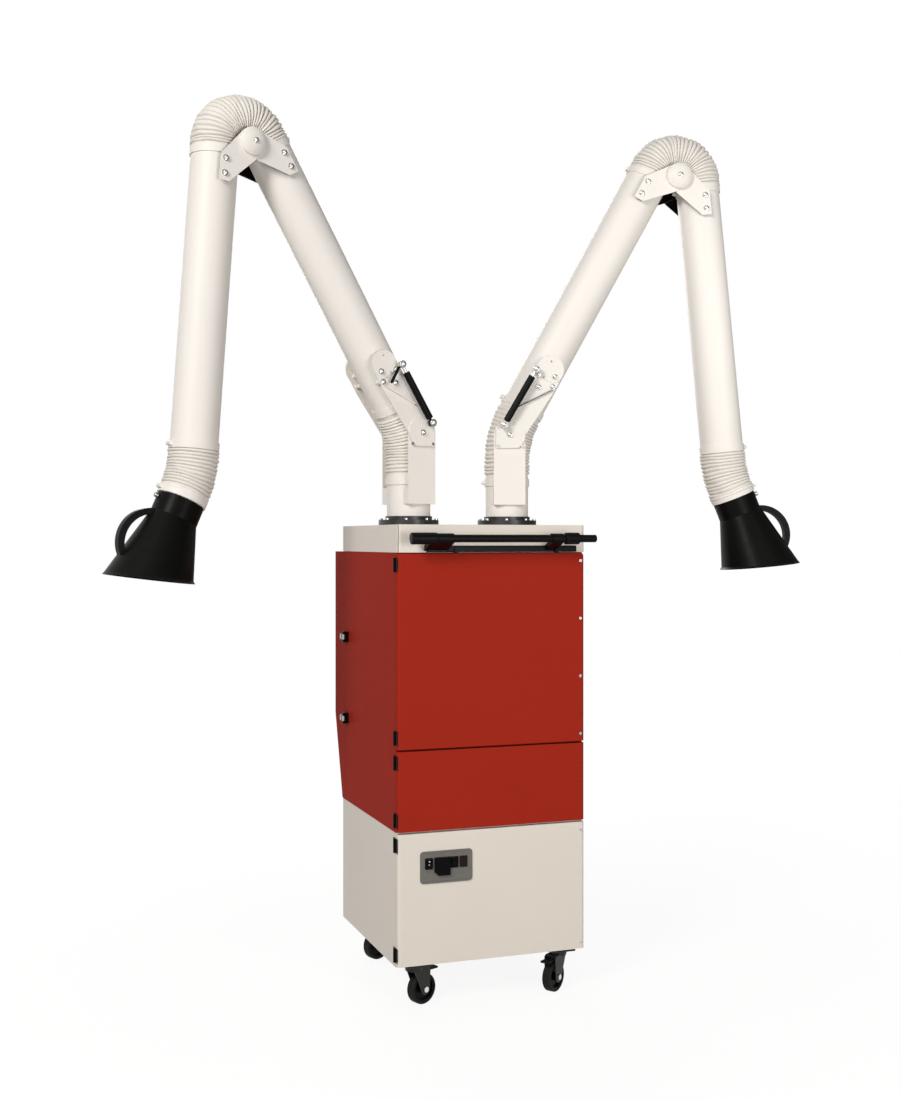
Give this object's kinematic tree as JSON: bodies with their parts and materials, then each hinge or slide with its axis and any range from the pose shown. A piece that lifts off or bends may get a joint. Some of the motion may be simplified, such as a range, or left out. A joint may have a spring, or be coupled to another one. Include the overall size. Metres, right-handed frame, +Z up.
{
  "type": "mobile welding fume extractor",
  "caption": "Mobile filter cabinet on swivel casters with jointed, hose-linked extraction arms on its roof that end in hand-guided suction nozzles.",
  "frame": {"origin": "on the floor under the middle of the cabinet's depth and width", "axes": "+X to the operator's right, +Y towards the rear cover, +Z up"},
  "size_m": [2.4425, 0.8484, 2.9496],
  "materials": {
    "cream_paint": "smooth powder coat",
    "red_paint": "smooth powder coat",
    "arm_white": "smooth powder coat",
    "hose_white": "coated hose cloth, ribbed",
    "black_plastic": "moulded, slight sheen",
    "black_metal": "satin black",
    "chrome": "bright plating",
    "zinc_steel": "zinc plated sheet",
    "caster_tyre": "grey rubber tread",
    "panel_grey": "satin",
    "switch_black": "gloss",
    "filter_media": "pleated filter cloth",
    "bin_steel": "plain sheet",
    "motor_grey": "enamel"
  },
  "bodies": {
    "cabinet": {"base_housing": "cream_paint", "filter_housing": "red_paint", "top_hood": "cream_paint", "hinges": "black_metal", "push_handle": "black_metal", "arm_flanges": "black_metal", "flange_bolts": "chrome", "caster_plates": "zinc_steel", "filter_cartridges": "filter_media", "dust_bin": "bin_steel", "fan_unit": "motor_grey", "air_tank": "bin_steel"},
    "upper_door_body": {"upper_door": "red_paint"},
    "dust_door_body": {"dust_door": "red_paint"},
    "base_door_body": {"base_door": "cream_paint", "control_panel": "panel_grey"},
    "rear_cover_body": {"rear_cover": "red_paint"},
    "latch_upper_body": {"latch_upper": "chrome"},
    "latch_lower_body": {"latch_lower": "chrome"},
    "rocker_1_body": {"rocker_1": "switch_black"},
    "rocker_2_body": {"rocker_2": "switch_black"},
    "fan_wheel_body": {"fan_wheel": "bin_steel"},
    "caster_front_left": {"fork_front_left": "zinc_steel"},
    "wheel_body_front_left": {"wheel_front_left": "caster_tyre"},
    "pedal_body_front_left": {"pedal_front_left": "black_metal"},
    "caster_front_right": {"fork_front_right": "zinc_steel"},
    "wheel_body_front_right": {"wheel_front_right": "caster_tyre"},
    "pedal_body_front_right": {"pedal_front_right": "black_metal"},
    "caster_rear_left": {"fork_rear_left": "zinc_steel"},
    "wheel_body_rear_left": {"wheel_rear_left": "caster_tyre"},
    "caster_rear_right": {"fork_rear_right": "zinc_steel"},
    "wheel_body_rear_right": {"wheel_rear_right": "caster_tyre"},
    "left_foot_link": {"left_foot": "arm_white", "left_shoulder_hose": "hose_white"},
    "left_inner_link": {"left_inner_tube": "arm_white", "left_inner_brackets": "arm_white", "left_elbow_hose": "hose_white", "left_elbow_caps": "arm_white"},
    "left_outer_link": {"left_outer_tube": "arm_white", "left_outer_plates": "arm_white", "left_wrist_hose": "hose_white"},
    "left_collar_link": {"left_wrist_collar": "arm_white"},
    "left_nozzle": {"left_hood": "black_plastic"},
    "left_flap": {"left_damper": "zinc_steel"},
    "left_strut_tubes": {"left_strut_cylinders": "black_metal"},
    "left_strut_pistons": {"left_strut_rods": "chrome"},
    "right_foot_link": {"right_foot": "arm_white", "right_shoulder_hose": "hose_white"},
    "right_inner_link": {"right_inner_tube": "arm_white", "right_inner_brackets": "arm_white", "right_elbow_hose": "hose_white", "right_elbow_caps": "arm_white"},
    "right_outer_link": {"right_outer_tube": "arm_white", "right_outer_plates": "arm_white", "right_wrist_hose": "hose_white"},
    "right_collar_link": {"right_wrist_collar": "arm_white"},
    "right_nozzle": {"right_hood": "black_plastic"},
    "right_flap": {"right_damper": "zinc_steel"},
    "right_strut_tubes": {"right_strut_cylinders": "black_metal"},
    "right_strut_pistons": {"right_strut_rods": "chrome"}
  },
  "joints": [
    {"name": "upper_door_swing", "type": "hinge", "parent": "cabinet", "child": "upper_door_body", "pos_m": [-0.3318, -0.31425, 1.151], "axis": [0, 0, -1], "range_deg": [0, 110]},
    {"name": "dust_door_swing", "type": "hinge", "parent": "cabinet", "child": "dust_door_body", "pos_m": [-0.3318, -0.31425, 0.702], "axis": [0, 0, -1], "range_deg": [0, 110]},
    {"name": "base_door_swing", "type": "hinge", "parent": "cabinet", "child": "base_door_body", "pos_m": [-0.3318, -0.31425, 0.355], "axis": [0, 0, -1], "range_deg": [0, 110]},
    {"name": "rear_cover_swing", "type": "hinge", "parent": "cabinet", "child": "rear_cover_body", "pos_m": [0.3318, 0.30075, 1.02], "axis": [0, 0, -1], "range_deg": [0, 110]},
    {"name": "latch_upper_turn", "type": "hinge", "parent": "cabinet", "child": "latch_upper_body", "pos_m": [-0.344, 0.258, 1.161], "axis": [0, 0, 1], "range_deg": [0, 90]},
    {"name": "latch_lower_turn", "type": "hinge", "parent": "cabinet", "child": "latch_lower_body", "pos_m": [-0.344, 0.258, 0.869], "axis": [0, 0, 1], "range_deg": [0, 90]},
    {"name": "rocker_1_tilt", "type": "hinge", "parent": "base_door_body", "child": "rocker_1_body", "pos_m": [-0.223, -0.3398, 0.4685], "axis": [-1, 0, 0], "range_deg": [0, 8]},
    {"name": "rocker_2_tilt", "type": "hinge", "parent": "base_door_body", "child": "rocker_2_body", "pos_m": [-0.136, -0.3398, 0.4685], "axis": [-1, 0, 0], "range_deg": [0, 8]},
    {"name": "fan_spin", "type": "hinge", "parent": "cabinet", "child": "fan_wheel_body", "pos_m": [0, 0.18, 0.5], "axis": [0, 0, 1], "continuous": true},
    {"name": "swivel_front_left", "type": "hinge", "parent": "cabinet", "child": "caster_front_left", "pos_m": [-0.255, -0.28, 0.12], "axis": [0, 0, 1], "continuous": true},
    {"name": "roll_front_left", "type": "hinge", "parent": "caster_front_left", "child": "wheel_body_front_left", "pos_m": [-0.22533, -0.26801, 0.05], "axis": [-0.3746, 0.9272, 0], "continuous": true},
    {"name": "brake_front_left", "type": "hinge", "parent": "caster_front_left", "child": "pedal_body_front_left", "pos_m": [-0.2142, -0.26352, 0.109], "axis": [-0.3746, 0.9272, 0], "range_deg": [0, 10]},
    {"name": "swivel_front_right", "type": "hinge", "parent": "cabinet", "child": "caster_front_right", "pos_m": [0.255, -0.28, 0.12], "axis": [0, 0, 1], "continuous": true},
    {"name": "roll_front_right", "type": "hinge", "parent": "caster_front_right", "child": "wheel_body_front_right", "pos_m": [0.22911, -0.29881, 0.05], "axis": [0.5878, -0.809, 0], "continuous": true},
    {"name": "brake_front_right", "type": "hinge", "parent": "caster_front_right", "child": "pedal_body_front_right", "pos_m": [0.2194, -0.30586, 0.109], "axis": [0.5878, -0.809, 0], "range_deg": [0, 10]},
    {"name": "swivel_rear_left", "type": "hinge", "parent": "cabinet", "child": "caster_rear_left", "pos_m": [-0.255, 0.232, 0.12], "axis": [0, 0, 1], "continuous": true},
    {"name": "roll_rear_left", "type": "hinge", "parent": "caster_rear_left", "child": "wheel_body_rear_left", "pos_m": [-0.22533, 0.24399, 0.05], "axis": [-0.3746, 0.9272, 0], "continuous": true},
    {"name": "swivel_rear_right", "type": "hinge", "parent": "cabinet", "child": "caster_rear_right", "pos_m": [0.255, 0.232, 0.12], "axis": [0, 0, 1], "continuous": true},
    {"name": "roll_rear_right", "type": "hinge", "parent": "caster_rear_right", "child": "wheel_body_rear_right", "pos_m": [0.28271, 0.248, 0.05], "axis": [-0.5, 0.866, 0], "continuous": true},
    {"name": "left_swivel", "type": "hinge", "parent": "cabinet", "child": "left_foot_link", "pos_m": [-0.1825, 0, 1.59], "axis": [0, 0, 1], "range_deg": [-100, 70]},
    {"name": "left_shoulder", "type": "hinge", "parent": "left_foot_link", "child": "left_inner_link", "pos_m": [-0.1825, 0, 1.874], "axis": [0.2588, -0.9659, 0], "range_deg": [-20, 27], "deforming": ["left_shoulder_hose"]},
    {"name": "left_elbow", "type": "hinge", "parent": "left_inner_link", "child": "left_outer_link", "pos_m": [-0.79962, -0.16536, 2.75752], "axis": [-0.2588, 0.9659, 0], "range_deg": [-12, 105], "deforming": ["left_elbow_hose"]},
    {"name": "left_wrist", "type": "hinge", "parent": "left_outer_link", "child": "left_collar_link", "pos_m": [-0.95966, -0.20824, 1.71215], "axis": [0.2588, -0.9659, 0], "range_deg": [-45, 45], "deforming": ["left_wrist_hose"]},
    {"name": "left_nozzle_turn", "type": "hinge", "parent": "left_collar_link", "child": "left_nozzle", "pos_m": [-0.99699, -0.21824, 1.62537], "axis": [-0.3929, -0.1053, -0.9135], "range_deg": [-180, 180]},
    {"name": "left_damper_turn", "type": "hinge", "parent": "left_nozzle", "child": "left_flap", "pos_m": [-1.0017, -0.2195, 1.61441], "axis": [0.8824, 0.2364, -0.4067], "range_deg": [0, 90]},
    {"name": "left_strut_swing", "type": "hinge", "parent": "left_foot_link", "child": "left_strut_tubes", "pos_m": [-0.16028, 0.00595, 1.906], "axis": [0.2588, -0.9659, 0], "range_deg": [-22.2, 29.6]},
    {"name": "left_strut_slide", "type": "slide", "parent": "left_strut_tubes", "child": "left_strut_pistons", "axis": [-0.5239, -0.1404, 0.8401], "range_m": [-0.0135, 0.0179]},
    {"name": "right_swivel", "type": "hinge", "parent": "cabinet", "child": "right_foot_link", "pos_m": [0.1825, 0, 1.59], "axis": [0, 0, 1], "range_deg": [-70, 100]},
    {"name": "right_shoulder", "type": "hinge", "parent": "right_foot_link", "child": "right_inner_link", "pos_m": [0.1825, 0, 1.874], "axis": [0.2588, 0.9659, 0], "range_deg": [-20, 27], "deforming": ["right_shoulder_hose"]},
    {"name": "right_elbow", "type": "hinge", "parent": "right_inner_link", "child": "right_outer_link", "pos_m": [0.76027, -0.15481, 2.7856], "axis": [-0.2588, -0.9659, 0], "range_deg": [-12, 105], "deforming": ["right_elbow_hose"]},
    {"name": "right_wrist", "type": "hinge", "parent": "right_outer_link", "child": "right_collar_link", "pos_m": [0.93967, -0.20288, 1.7436], "axis": [0.2588, 0.9659, 0], "range_deg": [-45, 45], "deforming": ["right_wrist_hose"]},
    {"name": "right_nozzle_turn", "type": "hinge", "parent": "right_collar_link", "child": "right_nozzle", "pos_m": [0.97404, -0.21209, 1.65552], "axis": [0.3618, -0.097, -0.9272], "range_deg": [-180, 180]},
    {"name": "right_damper_turn", "type": "hinge", "parent": "right_nozzle", "child": "right_flap", "pos_m": [0.97838, -0.21326, 1.64439], "axis": [-0.8956, 0.24, -0.3746], "range_deg": [0, 90]},
    {"name": "right_strut_swing", "type": "hinge", "parent": "right_foot_link", "child": "right_strut_tubes", "pos_m": [0.16028, 0.00595, 1.906], "axis": [0.2588, 0.9659, 0], "range_deg": [-22.3, 29.8]},
    {"name": "right_strut_slide", "type": "slide", "parent": "right_strut_tubes", "child": "right_strut_pistons", "axis": [0.484, -0.1297, 0.8654], "range_m": [-0.0133, 0.0176]}
  ],
  "couplings": [
    {"joint": "left_strut_swing", "follows": "left_shoulder", "ratio": 1.0588},
    {"joint": "left_strut_slide", "follows": "left_shoulder", "m_per_rad": 0.0359},
    {"joint": "right_strut_swing", "follows": "right_shoulder", "ratio": 1.0667},
    {"joint": "right_strut_slide", "follows": "right_shoulder", "m_per_rad": 0.03522}
  ]
}
